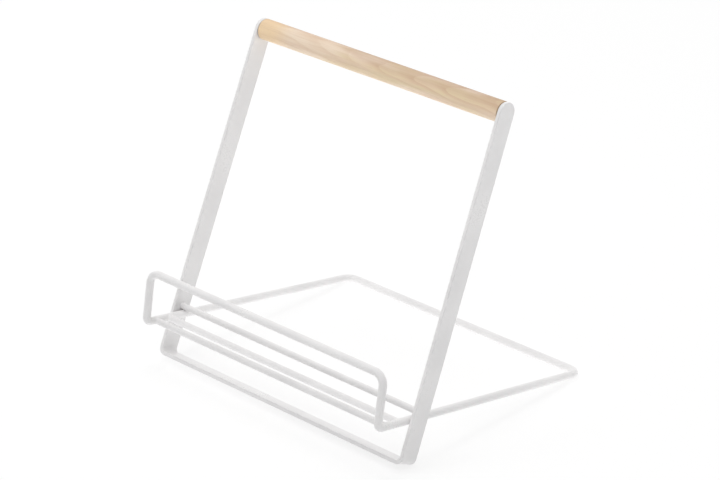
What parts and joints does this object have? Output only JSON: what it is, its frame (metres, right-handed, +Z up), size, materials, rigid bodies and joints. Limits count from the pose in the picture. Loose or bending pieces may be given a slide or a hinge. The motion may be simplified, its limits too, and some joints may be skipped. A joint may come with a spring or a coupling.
{
  "type": "cookbook stand",
  "caption": "Leaning stand for an open book: a bent flat-strip frame with a wooden top bar, and a wire loop that makes the book shelf, the lip and the rear support.",
  "frame": {"origin": "On the table, under the middle of the stand's width and depth.", "axes": "X runs along the wooden bar, to the right of someone facing the shelf; Y runs back, from the lip towards the rear bar; Z is up."},
  "size_m": [0.2538, 0.2234, 0.2482],
  "materials": {
    "white_steel": "white powder coat, satin",
    "pale_wood": "pale round bar with fine lengthwise grain, clear matt lacquer"
  },
  "bodies": {
    "root": {"strip_frame": "white_steel", "wire_frame": "white_steel", "front_shelf_rung": "white_steel", "rear_shelf_rung": "white_steel", "cross_bar": "white_steel", "wood_dowel": "pale_wood", "left_dowel_pin": "white_steel", "right_dowel_pin": "white_steel"}
  },
  "joints": []
}
